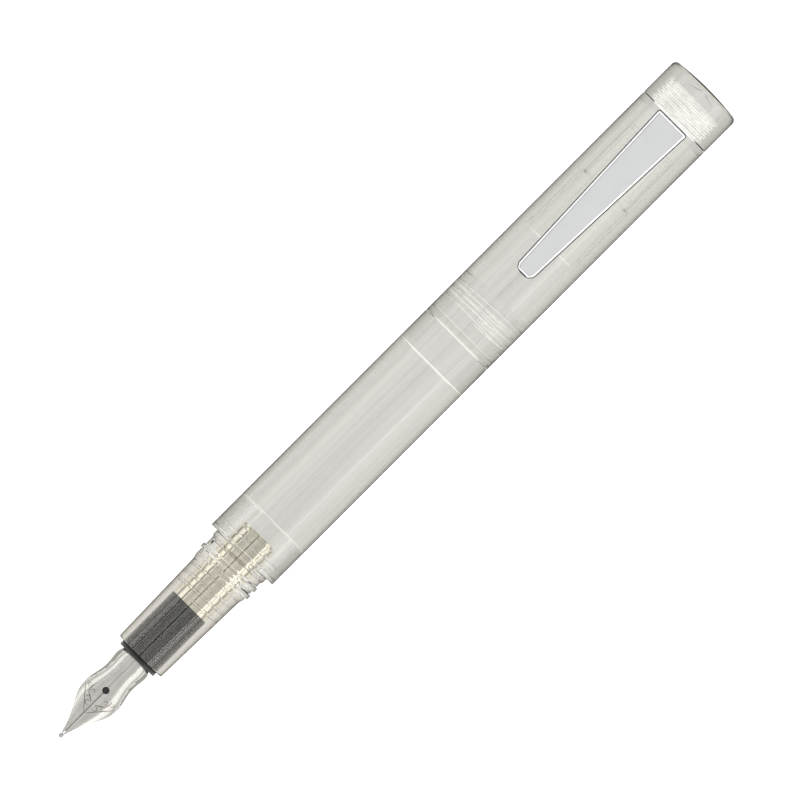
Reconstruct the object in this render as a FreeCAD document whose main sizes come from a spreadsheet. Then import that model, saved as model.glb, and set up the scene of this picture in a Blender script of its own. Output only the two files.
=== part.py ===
import FreeCAD, Part
import Sketcher
import math
import os

# A clear fountain pen with the cap screwed on the back of the barrel.
# In every body X runs along the pen from the nib's tip, and the pen's axis is the body's X axis.
# Each body is then placed so that the pen is centred in X and lies on Z = 0.

doc = FreeCAD.newDocument("fountain_pen")
sheet = doc.addObject("Spreadsheet::Sheet", "pen_sizes")

SIZES = (
    # whole pen
    ("pen_length", "139.4 mm"),
    ("pen_radius", "6.5 mm"),
    ("half_length", "pen_length / 2"),
    ("small_edge", "0.24 mm"),
    # nib: ten stations from the tip back, each with half width, arch height and crown height
    ("nib_thickness", "0.28 mm"),
    ("nib_x_a", "0.8 mm"),
    ("nib_half_a", "0.3 mm"),
    ("nib_arch_a", "0.05 mm"),
    ("nib_crown_a", "1.15 mm"),
    ("nib_x_b", "3.04 mm"),
    ("nib_half_b", "1.06 mm"),
    ("nib_arch_b", "0.25 mm"),
    ("nib_crown_b", "1.5 mm"),
    ("nib_x_c", "4.56 mm"),
    ("nib_half_c", "1.79 mm"),
    ("nib_arch_c", "0.55 mm"),
    ("nib_crown_c", "1.72 mm"),
    ("nib_x_d", "6.08 mm"),
    ("nib_half_d", "2.6 mm"),
    ("nib_arch_d", "0.95 mm"),
    ("nib_crown_d", "1.95 mm"),
    ("nib_x_e", "7.6 mm"),
    ("nib_half_e", "3.2 mm"),
    ("nib_arch_e", "1.35 mm"),
    ("nib_crown_e", "2.15 mm"),
    ("nib_x_f", "8.67 mm"),
    ("nib_half_f", "3.375 mm"),
    ("nib_arch_f", "1.6 mm"),
    ("nib_crown_f", "2.27 mm"),
    ("nib_x_g", "10.6 mm"),
    ("nib_half_g", "3.15 mm"),
    ("nib_arch_g", "1.75 mm"),
    ("nib_crown_g", "2.42 mm"),
    ("nib_x_h", "13 mm"),
    ("nib_half_h", "2.78 mm"),
    ("nib_arch_h", "1.85 mm"),
    ("nib_crown_h", "2.55 mm"),
    ("nib_x_i", "16.6 mm"),
    ("nib_half_i", "2.556 mm"),
    ("nib_arch_i", "1.95 mm"),
    ("nib_crown_i", "2.65 mm"),
    ("nib_tail_length", "7.4 mm"),
    ("slit_start", "0.5 mm"),
    ("slit_end", "9.8 mm"),
    ("slit_half", "0.05 mm"),
    ("breather_x", "10.03 mm"),
    ("breather_radius", "0.56 mm"),
    ("tipping_length", "0.78 mm"),
    ("tipping_radius", "0.36 mm"),
    ("tipping_height", "1.02 mm"),
    # feed
    ("feed_gap", "0.14 mm"),
    ("feed_x_a", "3.6 mm"),
    ("feed_half_a", "0.4 mm"),
    ("feed_low_a", "0.75 mm"),
    ("feed_x_b", "6.08 mm"),
    ("feed_half_b", "1.2 mm"),
    ("feed_low_b", "0.05 mm"),
    ("feed_x_c", "8.67 mm"),
    ("feed_half_c", "1.8 mm"),
    ("feed_low_c", "-0.95 mm"),
    ("feed_x_d", "10.6 mm"),
    ("feed_half_d", "2 mm"),
    ("feed_low_d", "-1.6 mm"),
    ("feed_x_e", "13 mm"),
    ("feed_half_e", "2.1 mm"),
    ("feed_low_e", "-2.15 mm"),
    ("feed_x_f", "16.6 mm"),
    ("feed_half_f", "2.2 mm"),
    ("feed_low_f", "-2.3 mm"),
    ("feed_tail_radius", "2.28 mm"),
    ("feed_tail_end", "23.9 mm"),
    ("fin_start", "9.6 mm"),
    ("fin_slot", "0.28 mm"),
    ("fin_spread", "6 mm"),
    ("fin_top", "-0.75 mm"),
    ("fin_floor", "-3.2 mm"),
    # nib unit: black housing with a flange, threaded metal sleeve, thin seal
    ("flange_front", "16.57 mm"),
    ("flange_back", "17 mm"),
    ("flange_radius", "3.57 mm"),
    ("neck_back", "17.36 mm"),
    ("neck_radius", "3.1 mm"),
    ("housing_radius", "3.5 mm"),
    ("housing_back", "28 mm"),
    ("housing_bore", "2.7 mm"),
    ("housing_bore_end", "24.2 mm"),
    ("stem_radius", "3 mm"),
    ("stem_end", "43.3 mm"),
    ("ink_hole_radius", "1.2 mm"),
    ("sleeve_front", "28.03 mm"),
    ("sleeve_bore", "3.02 mm"),
    ("seal_front", "17.03 mm"),
    ("seal_back", "17.31 mm"),
    ("seal_bore", "3.14 mm"),
    ("unit_pitch", "1.55 mm"),
    ("unit_groove_root", "3.26 mm"),
    ("unit_groove_half", "0.21 mm"),
    ("unit_groove_start", "28.95 mm"),
    ("unit_groove_length", "15.2 mm"),
    ("unit_ridge_crest", "3.32 mm"),
    ("unit_ridge_half", "0.15 mm"),
    ("unit_ridge_length", "13.2 mm"),
    # section
    ("nose_front", "17.34 mm"),
    ("nose_radius", "4.45 mm"),
    ("nose_edge", "0.3 mm"),
    ("section_bore", "3.55 mm"),
    ("grip_back", "33.7 mm"),
    ("grip_radius", "4.83 mm"),
    ("cap_thread_root", "5.06 mm"),
    ("cap_thread_front", "34.35 mm"),
    ("cap_thread_back", "38.1 mm"),
    ("shoulder_front", "38.35 mm"),
    ("shoulder_radius", "5.3 mm"),
    ("shoulder_back", "39.18 mm"),
    ("tenon_radius", "4.98 mm"),
    ("ring_groove_front", "39.9 mm"),
    ("ring_groove_back", "41 mm"),
    ("ring_groove_radius", "4.45 mm"),
    ("tenon_thread_front", "41.4 mm"),
    ("tenon_thread_root", "4.72 mm"),
    ("tenon_end", "46.1 mm"),
    ("section_ring_front", "39.93 mm"),
    ("section_ring_back", "40.97 mm"),
    ("section_ring_bore", "4.48 mm"),
    ("section_ring_radius", "5.03 mm"),
    # cap thread: one start, the same on the section and on the barrel's tail
    ("cap_pitch", "1.5 mm"),
    ("cap_ridge_crest", "5.4 mm"),
    ("cap_ridge_root_half", "0.52 mm"),
    ("cap_ridge_crest_half", "0.34 mm"),
    ("cap_groove_depth", "5.46 mm"),
    ("cap_groove_mouth_half", "0.52 mm"),
    ("cap_groove_floor_half", "0.4 mm"),
    ("section_ridge_start", "34.98 mm"),
    ("section_ridge_length", "2.55 mm"),
    # barrel thread: joins the section to the barrel
    ("barrel_pitch", "1.2 mm"),
    ("barrel_ridge_root_half", "0.42 mm"),
    ("barrel_ridge_crest_half", "0.24 mm"),
    ("barrel_ridge_start", "42.1 mm"),
    ("barrel_ridge_length", "3.3 mm"),
    ("barrel_minor", "4.78 mm"),
    ("barrel_major", "5.05 mm"),
    ("barrel_groove_mouth_half", "0.45 mm"),
    ("barrel_groove_floor_half", "0.29 mm"),
    ("barrel_groove_start", "40.9 mm"),
    ("barrel_groove_length", "4.8 mm"),
    # barrel
    ("barrel_front", "39.23 mm"),
    ("barrel_mouth_radius", "5.07 mm"),
    ("barrel_thread_back", "46 mm"),
    ("chamber_radius", "5.23 mm"),
    ("chamber_start", "46.3 mm"),
    ("chamber_end", "80 mm"),
    ("chamber_corner", "0.25 mm"),
    ("barrel_shoulder", "85.4 mm"),
    ("tail_radius", "5.12 mm"),
    ("tail_ring_front", "85.75 mm"),
    ("tail_ring_back", "86.8 mm"),
    ("tail_ring_root", "4.9 mm"),
    ("tail_thread_front", "88.6 mm"),
    ("tail_end", "93.4 mm"),
    ("tail_ridge_start", "89.25 mm"),
    ("tail_ridge_length", "3.45 mm"),
    ("post_ring_bore", "4.93 mm"),
    ("post_ring_radius", "5.45 mm"),
    ("post_ring_front", "85.78 mm"),
    ("post_ring_back", "86.77 mm"),
    # cap
    ("cap_lip", "85.45 mm"),
    ("cap_mouth_radius", "5.5 mm"),
    ("cap_mouth_back", "88.2 mm"),
    ("cap_bore", "5.2 mm"),
    ("cap_groove_start", "87.75 mm"),
    ("cap_groove_length", "6 mm"),
    ("cap_bore_end", "131.05 mm"),
    ("cap_top", "132.15 mm"),
    ("stud_root", "3.12 mm"),
    ("stud_end", "136.3 mm"),
    ("stud_pitch", "0.75 mm"),
    ("stud_crest", "3.5 mm"),
    ("stud_ridge_root_half", "0.29 mm"),
    ("stud_ridge_crest_half", "0.08 mm"),
    ("stud_ridge_start", "132.8 mm"),
    ("stud_ridge_length", "3 mm"),
    ("slot_front", "129.95 mm"),
    ("slot_back", "131 mm"),
    ("slot_half", "2.25 mm"),
    ("slot_top", "8 mm"),
    # finial
    ("finial_front", "132.2 mm"),
    ("finial_bore", "3.18 mm"),
    ("finial_bore_end", "136.9 mm"),
    ("drill_tip", "138.2 mm"),
    ("finial_groove_floor", "3.56 mm"),
    ("finial_groove_mouth_half", "0.31 mm"),
    ("finial_groove_floor_half", "0.11 mm"),
    ("finial_groove_start", "132.05 mm"),
    ("finial_groove_length", "4.5 mm"),
    ("finial_side_end", "138.35 mm"),
    ("finial_edge_x", "139.02 mm"),
    ("finial_edge_radius", "5.75 mm"),
    ("finial_edge_arc", "0.85 mm"),
    ("finial_dome_rise", "pen_length - finial_edge_x"),
    (
        "finial_dome_arc",
        "(finial_edge_radius * finial_edge_radius + finial_dome_rise * finial_dome_rise)"
        " / (2 * finial_dome_rise)",
    ),
    # inner cap
    ("liner_front", "105.4 mm"),
    ("liner_flange_back", "106.9 mm"),
    ("liner_flange_radius", "5.15 mm"),
    ("liner_radius", "5 mm"),
    ("liner_step", "117.4 mm"),
    ("liner_tail_radius", "4.45 mm"),
    ("liner_back", "127.5 mm"),
    ("liner_bore", "4.55 mm"),
    ("liner_bore_step", "117.1 mm"),
    ("liner_tail_bore", "4 mm"),
    ("liner_bore_end", "126.9 mm"),
    # clip
    ("clip_tip_x", "99.4 mm"),
    ("clip_back_x", "131.95 mm"),
    ("clip_tip_half", "1.7 mm"),
    ("clip_back_half", "3 mm"),
    ("clip_top", "8.2 mm"),
    ("clip_under", "7.2 mm"),
    ("clip_seat", "6.56 mm"),
    ("clip_tip_corner", "1.3 mm"),
    ("clip_back_corner", "0.45 mm"),
    ("clip_top_edge", "0.35 mm"),
    ("clip_bend_x", "131 mm"),
    ("clip_back_top", "7.8 mm"),
    ("clip_nose_x", "100.1 mm"),
    ("clip_nose_low", "6.95 mm"),
    ("clip_nose_top", "7.95 mm"),
    ("clip_bump_a", "101 mm"),
    ("clip_bump_b", "102.2 mm"),
    ("clip_bump_c", "103.6 mm"),
    ("clip_heel_a", "129 mm"),
    ("clip_heel_b", "129.8 mm"),
    ("clip_far_y", "5 mm"),
    ("fold_front", "104.2 mm"),
    ("fold_back", "128.6 mm"),
    ("fold_front_half", "1.35 mm"),
    ("fold_back_half", "2.3 mm"),
    ("fold_top", "7.68 mm"),
    ("leg_front", "130 mm"),
    ("leg_back", "130.92 mm"),
    ("leg_top", "6.5 mm"),
    ("leg_width", "4.4 mm"),
    ("foot_front", "127.7 mm"),
    ("foot_low", "3.4 mm"),
    ("foot_top", "4.2 mm"),
    ("foot_width", "5.2 mm"),
)

# Cells that follow from the ones above.
DERIVED = (
    ("nib_cut_height", "5 mm"),
    (
        "bead_arc",
        "(tipping_length * tipping_length / 4 + tipping_radius * tipping_radius) / (2 * tipping_radius)",
    ),
    ("fin_end", "fin_start + fin_slot"),
    ("fin_cut_width", "8 mm"),
    ("unit_groove_rim", "housing_radius + 0.2 mm"),
    ("cap_ridge_foot", "cap_thread_root - 0.15 mm"),
    ("barrel_ridge_foot", "tenon_thread_root - 0.12 mm"),
    ("unit_ridge_foot", "section_bore + 0.15 mm"),
    ("chamber_round_x", "chamber_end - chamber_corner"),
    ("chamber_round_r", "chamber_radius - chamber_corner"),
    ("barrel_groove_foot", "barrel_minor - 0.15 mm"),
    ("cap_thread_mouth", "cap_mouth_back + 0.3 mm"),
    ("slot_low", "3 mm"),
    ("slot_width", "slot_half * 2"),
    ("cap_groove_foot", "cap_bore - 0.2 mm"),
    ("stud_ridge_foot", "stud_root - 0.15 mm"),
    ("finial_groove_foot", "finial_bore - 0.15 mm"),
    ("liner_flange_slope", "liner_flange_back + 0.1 mm"),
    ("liner_step_back", "liner_step + 0.15 mm"),
    ("liner_bore_slope", "liner_bore_step + 0.3 mm"),
    ("clip_width", "clip_back_half * 2"),
    ("clip_cut_height", "40 mm"),
    ("clip_past_tip", "clip_tip_x - 2 mm"),
    ("clip_past_back", "clip_back_x + 2 mm"),
    ("clip_tip_flat", "clip_tip_half - clip_tip_corner"),
    ("clip_tip_end_x", "clip_tip_x + clip_tip_corner"),
    (
        "clip_tip_end_y",
        "clip_tip_half + (clip_back_half - clip_tip_half) * clip_tip_corner"
        " / (clip_back_x - clip_tip_x)",
    ),
    ("clip_back_end_x", "clip_back_x - clip_back_corner"),
    ("clip_back_flat", "clip_back_half - clip_back_corner"),
)

# The outlines of the screw threads, at the top of the pen.
THREADS = (
    # name, centre of the outline, half its width at the wall, half its width at the far side
    ("unit_groove", "unit_groove_start", "unit_groove_half", "unit_groove_half"),
    ("section_ridge", "section_ridge_start", "cap_ridge_root_half", "cap_ridge_crest_half"),
    ("barrel_ridge", "barrel_ridge_start", "barrel_ridge_root_half", "barrel_ridge_crest_half"),
    ("unit_ridge", "unit_groove_start", "unit_ridge_half", "unit_ridge_half"),
    ("barrel_groove", "barrel_groove_start", "barrel_groove_mouth_half", "barrel_groove_floor_half"),
    ("tail_ridge", "tail_ridge_start", "cap_ridge_root_half", "cap_ridge_crest_half"),
    ("cap_groove", "cap_groove_start", "cap_groove_mouth_half", "cap_groove_floor_half"),
    ("stud_ridge", "stud_ridge_start", "stud_ridge_root_half", "stud_ridge_crest_half"),
    ("finial_groove", "finial_groove_start", "finial_groove_mouth_half", "finial_groove_floor_half"),
)

NIB_STATIONS = "abcdefghi"
# Each feed station with the nib station that it hangs under.
FEED_STATIONS = (("a", "c"), ("b", "d"), ("c", "f"), ("d", "g"), ("e", "h"), ("f", "i"))

# An arch's outer and inner radius, their centre's height and the ends of the arch.
ARCH_CELLS = (
    ("nib_outer_{0}", "(nib_half_{0} * nib_half_{0} + nib_arch_{0} * nib_arch_{0}) / (2 * nib_arch_{0})"),
    ("nib_inner_{0}", "nib_outer_{0} - nib_thickness"),
    ("nib_centre_{0}", "nib_crown_{0} - nib_outer_{0}"),
    ("nib_end_{0}", "nib_crown_{0} - nib_arch_{0}"),
    ("nib_in_half_{0}", "nib_half_{0} * nib_inner_{0} / nib_outer_{0}"),
    (
        "nib_in_end_{0}",
        "nib_centre_{0} + (nib_end_{0} - nib_centre_{0}) * nib_inner_{0} / nib_outer_{0}",
    ),
)

# The feed's top follows the underside of the nib, feed_gap below it.
FEED_CELLS = (
    ("feed_top_{0}", "nib_inner_{1} - feed_gap"),
    (
        "feed_end_{0}",
        "nib_centre_{1} + sqrt(feed_top_{0} * feed_top_{0} - feed_half_{0} * feed_half_{0})",
    ),
    ("feed_side_{0}", "(feed_end_{0} + feed_low_{0} * 2) / 3"),
    ("feed_base_{0}", "feed_half_{0} * 0.62"),
)

# The four corners of a thread's outline along the pen.
THREAD_CORNERS = (
    ("{0}_a", "{1} - {2}"),
    ("{0}_b", "{1} - {3}"),
    ("{0}_c", "{1} + {3}"),
    ("{0}_d", "{1} + {2}"),
)

cells = list(SIZES) + list(DERIVED)
for station in NIB_STATIONS:
    for alias, text in ARCH_CELLS:
        cells.append((alias.format(station), text.format(station)))
for pair in FEED_STATIONS:
    for alias, text in FEED_CELLS:
        cells.append((alias.format(*pair), text.format(*pair)))
for thread in THREADS:
    for alias, text in THREAD_CORNERS:
        cells.append((alias.format(*thread), text.format(*thread)))

for row, (alias, text) in enumerate(cells, start=1):
    sheet.set("A" + str(row), alias)
    sheet.set("B" + str(row), "=" + text)
    sheet.setAlias("B" + str(row), alias)
doc.recompute()

V = FreeCAD.Vector
TINY = 1e-9
H_AXIS = -1
V_AXIS = -2


def size(name):
    """The value of a cell, in mm. A leading minus turns its sign."""
    sign = 1.0
    if name.startswith("-"):
        sign = -1.0
        name = name[1:]
    return sign * sheet.get(name).Value


def cell(name):
    """The same cell as text for an expression."""
    if name.startswith("-"):
        return "-pen_sizes." + name[1:]
    return "pen_sizes." + name


def new_body(label, lift=None):
    body = doc.addObject("PartDesign::Body", label)
    body.Label = label
    body.setExpression(".Placement.Base.x", "-pen_sizes.half_length")
    height = "pen_sizes.pen_radius"
    if lift:
        height = height + " + pen_sizes." + lift
    body.setExpression(".Placement.Base.z", height)
    return body


def origin_part(body, role):
    for part in body.Origin.OriginFeatures:
        if part.Role == role:
            return part
    raise RuntimeError("no " + role)


def new_sketch(body, name, plane, offset=None):
    sketch = body.newObject("Sketcher::SketchObject", name)
    sketch.AttachmentSupport = [(origin_part(body, plane), "")]
    sketch.MapMode = "FlatFace"
    if offset:
        sketch.setExpression(".AttachmentOffset.Base.z", cell(offset))
    return sketch


def pin_point(sketch, geometry, end, along, out):
    """Ties one end of a line or arc to two cells of the sheet. "zero" means on the axis."""
    for kind, name, axis in (("DistanceX", along, V_AXIS), ("DistanceY", out, H_AXIS)):
        if name == "zero":
            sketch.addConstraint(Sketcher.Constraint("PointOnObject", geometry, end, axis))
            continue
        value = size(name)
        index = sketch.addConstraint(
            Sketcher.Constraint(kind, H_AXIS, 1, geometry, end, value)
        )
        sketch.setExpression("Constraints[" + str(index) + "]", cell(name))


def value_of(name):
    if name == "zero":
        return 0.0
    return size(name)


def arc_through(start, finish, radius, side):
    """An arc of a given radius from start to finish, and whether it runs forward.

    side 1 bulges left of the way and -1 right. A sketch keeps its arcs anticlockwise,
    so an arc that bulges left is stored from finish to start."""
    chord = finish.sub(start)
    left = V(-chord.y, chord.x, 0).normalize()
    half = chord.Length / 2
    middle = start + chord * 0.5
    centre = middle - left * (side * math.sqrt(max(radius * radius - half * half, 0.0)))
    first = finish
    last = start
    if side < 0:
        first = start
        last = finish
    begin = math.atan2(first.y - centre.y, first.x - centre.x)
    end = math.atan2(last.y - centre.y, last.x - centre.x)
    if end < begin:
        end = end + 2 * math.pi
    circle = Part.Circle(centre, V(0, 0, 1), radius)
    return Part.ArcOfCircle(circle, begin, end), side < 0


def add_outline(sketch, corners):
    """A closed outline. A corner is (x cell, y cell), and a third item bends the side after it:
    what bend() returns."""
    count = len(corners)
    spots = [V(value_of(c[0]), value_of(c[1]), 0) for c in corners]
    ends = []
    for i, corner in enumerate(corners):
        start = spots[i]
        finish = spots[(i + 1) % count]
        if len(corner) == 2:
            geometry = sketch.addGeometry(Part.LineSegment(start, finish), False)
            ends.append((geometry, 1, 2))
            continue
        radius, side, text = corner[2]
        arc, forward = arc_through(start, finish, radius, side)
        geometry = sketch.addGeometry(arc, False)
        ends.append((geometry, 1, 2) if forward else (geometry, 2, 1))
        if text == "centre on axis":
            sketch.addConstraint(Sketcher.Constraint("PointOnObject", geometry, 3, H_AXIS))
            continue
        index = sketch.addConstraint(Sketcher.Constraint("Radius", geometry, radius))
        sketch.setExpression("Constraints[" + str(index) + "]", text)
    for i, corner in enumerate(corners):
        before = ends[i - 1]
        here = ends[i]
        sketch.addConstraint(
            Sketcher.Constraint("Coincident", before[0], before[2], here[0], here[1])
        )
        pin_point(sketch, here[0], here[1], corner[0], corner[1])


def bend(name, side):
    return (size(name), side, cell(name))


def turned(body, name, corners, plane="XZ_Plane"):
    """A ring or solid turned about the pen's axis. Its faces close on the outline's plane."""
    sketch = new_sketch(body, name + "_outline", plane)
    add_outline(sketch, corners)
    doc.recompute()
    feature = body.newObject("PartDesign::Revolution", name)
    feature.Profile = sketch
    feature.ReferenceAxis = (origin_part(body, "X_Axis"), [""])
    feature.Angle = 360
    doc.recompute()
    return feature


def helix(body, name, kind, pitch, length, corners):
    """A screw ridge or groove, one start, right hand, from its outline at the top of the pen."""
    before = body.Shape.Volume
    sketch = new_sketch(body, name + "_outline", "XZ_Plane")
    add_outline(sketch, corners)
    doc.recompute()
    feature = body.newObject("PartDesign::" + kind + "Helix", name)
    feature.Profile = sketch
    feature.ReferenceAxis = (origin_part(body, "X_Axis"), [""])
    feature.Mode = "pitch-height-angle"
    feature.Pitch = size(pitch)
    feature.Height = size(length)
    feature.setExpression("Pitch", cell(pitch))
    feature.setExpression("Height", cell(length))
    doc.recompute()
    after = body.Shape.Volume
    if kind == "Additive" and after <= before:
        raise RuntimeError(name + " added nothing")
    if kind == "Subtractive" and after >= before:
        raise RuntimeError(name + " cut nothing")
    return feature


def thread_cells(prefix):
    """The four cells along the pen that ridge_cells made for this thread."""
    return [prefix + "_" + tag for tag in "abcd"]


def thread_outline(names, near, far):
    """near is the radius the outline stands on, inside the wall, and far is its other end."""
    return [
        (names[0], near),
        (names[1], far),
        (names[2], far),
        (names[3], near),
    ]


def pad(body, name, sketch, length, both=False):
    feature = body.newObject("PartDesign::Pad", name)
    feature.Profile = sketch
    feature.Length = size(length)
    feature.setExpression("Length", cell(length))
    feature.Midplane = both
    doc.recompute()
    return feature


def pocket(body, name, sketch, length, both=False, flip=False):
    before = body.Shape.Volume
    feature = body.newObject("PartDesign::Pocket", name)
    feature.Profile = sketch
    feature.Length = size(length)
    feature.setExpression("Length", cell(length))
    feature.Midplane = both
    feature.Reversed = flip
    doc.recompute()
    if body.Shape.Volume >= before - 1e-6:
        raise RuntimeError(name + " cut nothing")
    return feature


def round_edges(body, name, chosen, radius):
    """Rounds the edges of the body for which chosen(edge) holds."""
    base = body.Tip
    picked = []
    for number, edge in enumerate(base.Shape.Edges, start=1):
        if chosen(edge):
            picked.append("Edge" + str(number))
    if not picked:
        raise RuntimeError(name + " found no edges")
    feature = body.newObject("PartDesign::Fillet", name)
    feature.Base = (base, picked)
    feature.Radius = size(radius)
    feature.setExpression("Radius", cell(radius))
    doc.recompute()
    return feature


def ring_edge(edge, along, radius):
    """True for a full circle at this place along the pen with this radius."""
    if edge.Degenerated or not isinstance(edge.Curve, Part.Circle):
        return False
    curve = edge.Curve
    near = abs(curve.Center.x - along) < 0.01
    return near and abs(curve.Radius - radius) < 0.01


# ---- nib ----

def arch_corners(tag):
    """The nib's cross section at one station: an arch of sheet metal."""
    outer = "nib_outer_" + tag
    inner = "nib_inner_" + tag
    return [
        ("-nib_half_" + tag, "nib_end_" + tag, bend(outer, 1)),
        ("nib_half_" + tag, "nib_end_" + tag),
        ("nib_in_half_" + tag, "nib_in_end_" + tag, bend(inner, -1)),
        ("-nib_in_half_" + tag, "nib_in_end_" + tag),
    ]


nib = new_body("nib")
stations = []
for tag in NIB_STATIONS:
    station = new_sketch(nib, "nib_station_" + tag, "YZ_Plane", "nib_x_" + tag)
    add_outline(station, arch_corners(tag))
    stations.append(station)
doc.recompute()
blade = nib.newObject("PartDesign::AdditiveLoft", "nib_blade")
blade.Profile = stations[0]
blade.Sections = stations[1:]
blade.Ruled = False
doc.recompute()
tail_outline = new_sketch(nib, "nib_tail_outline", "YZ_Plane", "nib_x_i")
add_outline(tail_outline, arch_corners("i"))
pad(nib, "nib_tail", tail_outline, "nib_tail_length")

slit_outline = new_sketch(nib, "slit_outline", "XY_Plane")
add_outline(
    slit_outline,
    [
        ("slit_start", "-slit_half"),
        ("slit_end", "-slit_half"),
        ("slit_end", "slit_half"),
        ("slit_start", "slit_half"),
    ],
)
doc.recompute()
pocket(nib, "slit", slit_outline, "nib_cut_height", flip=True)
hole_outline = new_sketch(nib, "breather_outline", "XY_Plane")
hole_outline.addGeometry(
    Part.Circle(V(size("breather_x"), 0, 0), V(0, 0, 1), size("breather_radius")), False
)
hole_outline.addConstraint(Sketcher.Constraint("PointOnObject", 0, 3, H_AXIS))
mark = hole_outline.addConstraint(
    Sketcher.Constraint("DistanceX", H_AXIS, 1, 0, 3, size("breather_x"))
)
hole_outline.setExpression("Constraints[" + str(mark) + "]", "pen_sizes.breather_x")
mark = hole_outline.addConstraint(Sketcher.Constraint("Radius", 0, size("breather_radius")))
hole_outline.setExpression("Constraints[" + str(mark) + "]", "pen_sizes.breather_radius")
doc.recompute()
pocket(nib, "breather_hole", hole_outline, "nib_cut_height", flip=True)

# The writing point: a small bead turned about its own axis, at the height of the nib's tip.
tipping = new_body("nib_tipping", "tipping_height")
turned(
    tipping,
    "bead",
    [
        ("zero", "zero", bend("bead_arc", 1)),
        ("tipping_length", "zero"),
    ],
)

# ---- feed ----

feed = new_body("feed")
feed_stations = []
for tag, _ in FEED_STATIONS:
    station = new_sketch(feed, "feed_station_" + tag, "YZ_Plane", "feed_x_" + tag)
    half = "feed_half_" + tag
    low = "feed_low_" + tag
    add_outline(
        station,
        [
            ("-" + half, "feed_end_" + tag, bend("feed_top_" + tag, 1)),
            (half, "feed_end_" + tag),
            (half, "feed_side_" + tag),
            ("feed_base_" + tag, low),
            ("-feed_base_" + tag, low),
            ("-" + half, "feed_side_" + tag),
        ],
    )
    feed_stations.append(station)
doc.recompute()
shaft = feed.newObject("PartDesign::AdditiveLoft", "feed_shaft")
shaft.Profile = feed_stations[0]
shaft.Sections = feed_stations[1:]
shaft.Ruled = True
doc.recompute()
turned(
    feed,
    "feed_tail",
    [
        ("feed_x_f", "zero"),
        ("feed_x_f", "feed_tail_radius"),
        ("feed_tail_end", "feed_tail_radius"),
        ("feed_tail_end", "zero"),
    ],
)
fin_outline = new_sketch(feed, "fin_outline", "XZ_Plane")
add_outline(
    fin_outline,
    [
        ("fin_start", "fin_floor"),
        ("fin_end", "fin_floor"),
        ("fin_end", "fin_top"),
        ("fin_start", "fin_top"),
    ],
)
doc.recompute()
fin_cut = pocket(feed, "fin_cut", fin_outline, "fin_cut_width", both=True)
fins = feed.newObject("PartDesign::LinearPattern", "fin_row")
fins.Originals = [fin_cut]
fins.Direction = (origin_part(feed, "X_Axis"), [""])
fins.Length = size("fin_spread")
fins.setExpression("Length", "pen_sizes.fin_spread")
fins.Occurrences = 9
feed.Tip = fins
doc.recompute()

# ---- nib unit ----

housing = new_body("nib_housing")
turned(
    housing,
    "housing_turned",
    [
        ("flange_front", "housing_bore"),
        ("flange_front", "flange_radius"),
        ("flange_back", "flange_radius"),
        ("flange_back", "neck_radius"),
        ("neck_back", "neck_radius"),
        ("neck_back", "housing_radius"),
        ("housing_back", "housing_radius"),
        ("housing_back", "stem_radius"),
        ("stem_end", "stem_radius"),
        ("stem_end", "ink_hole_radius"),
        ("housing_bore_end", "ink_hole_radius"),
        ("housing_bore_end", "housing_bore"),
    ],
)

unit_seal = new_body("nib_unit_seal")
turned(
    unit_seal,
    "unit_seal_turned",
    [
        ("seal_front", "seal_bore"),
        ("seal_front", "flange_radius"),
        ("seal_back", "flange_radius"),
        ("seal_back", "seal_bore"),
    ],
)

sleeve = new_body("nib_sleeve")
turned(
    sleeve,
    "sleeve_turned",
    [
        ("sleeve_front", "sleeve_bore"),
        ("sleeve_front", "housing_radius"),
        ("stem_end", "housing_radius"),
        ("stem_end", "sleeve_bore"),
    ],
)
groove = thread_cells("unit_groove")
helix(
    sleeve,
    "sleeve_groove",
    "Subtractive",
    "unit_pitch",
    "unit_groove_length",
    thread_outline(groove, "unit_groove_root", "unit_groove_rim"),
)

# ---- section ----

section = new_body("section")
section_turned = turned(
    section,
    "section_turned",
    [
        ("nose_front", "section_bore"),
        ("nose_front", "nose_radius"),
        ("grip_back", "grip_radius"),
        ("cap_thread_front", "cap_thread_root"),
        ("cap_thread_back", "cap_thread_root"),
        ("shoulder_front", "shoulder_radius"),
        ("shoulder_back", "shoulder_radius"),
        ("shoulder_back", "tenon_radius"),
        ("ring_groove_front", "tenon_radius"),
        ("ring_groove_front", "ring_groove_radius"),
        ("ring_groove_back", "ring_groove_radius"),
        ("ring_groove_back", "tenon_radius"),
        ("tenon_thread_front", "tenon_radius"),
        ("tenon_thread_front", "tenon_thread_root"),
        ("tenon_end", "tenon_thread_root"),
        ("tenon_end", "section_bore"),
    ],
)
nose_x = size("nose_front")
nose_r = size("nose_radius")
round_edges(section, "nose_round", lambda e: ring_edge(e, nose_x, nose_r), "nose_edge")

ridge = thread_cells("section_ridge")
helix(
    section,
    "section_cap_thread",
    "Additive",
    "cap_pitch",
    "section_ridge_length",
    thread_outline(ridge, "cap_ridge_foot", "cap_ridge_crest"),
)
ridge = thread_cells("barrel_ridge")
helix(
    section,
    "section_barrel_thread",
    "Additive",
    "barrel_pitch",
    "barrel_ridge_length",
    thread_outline(ridge, "barrel_ridge_foot", "tenon_radius"),
)
ridge = thread_cells("unit_ridge")
helix(
    section,
    "section_unit_thread",
    "Additive",
    "unit_pitch",
    "unit_ridge_length",
    thread_outline(ridge, "unit_ridge_foot", "unit_ridge_crest"),
)

section_seal = new_body("section_seal")
turned(
    section_seal,
    "section_seal_turned",
    [
        ("section_ring_front", "section_ring_bore"),
        ("section_ring_front", "section_ring_radius"),
        ("section_ring_back", "section_ring_radius"),
        ("section_ring_back", "section_ring_bore"),
    ],
)

# ---- barrel ----

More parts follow.
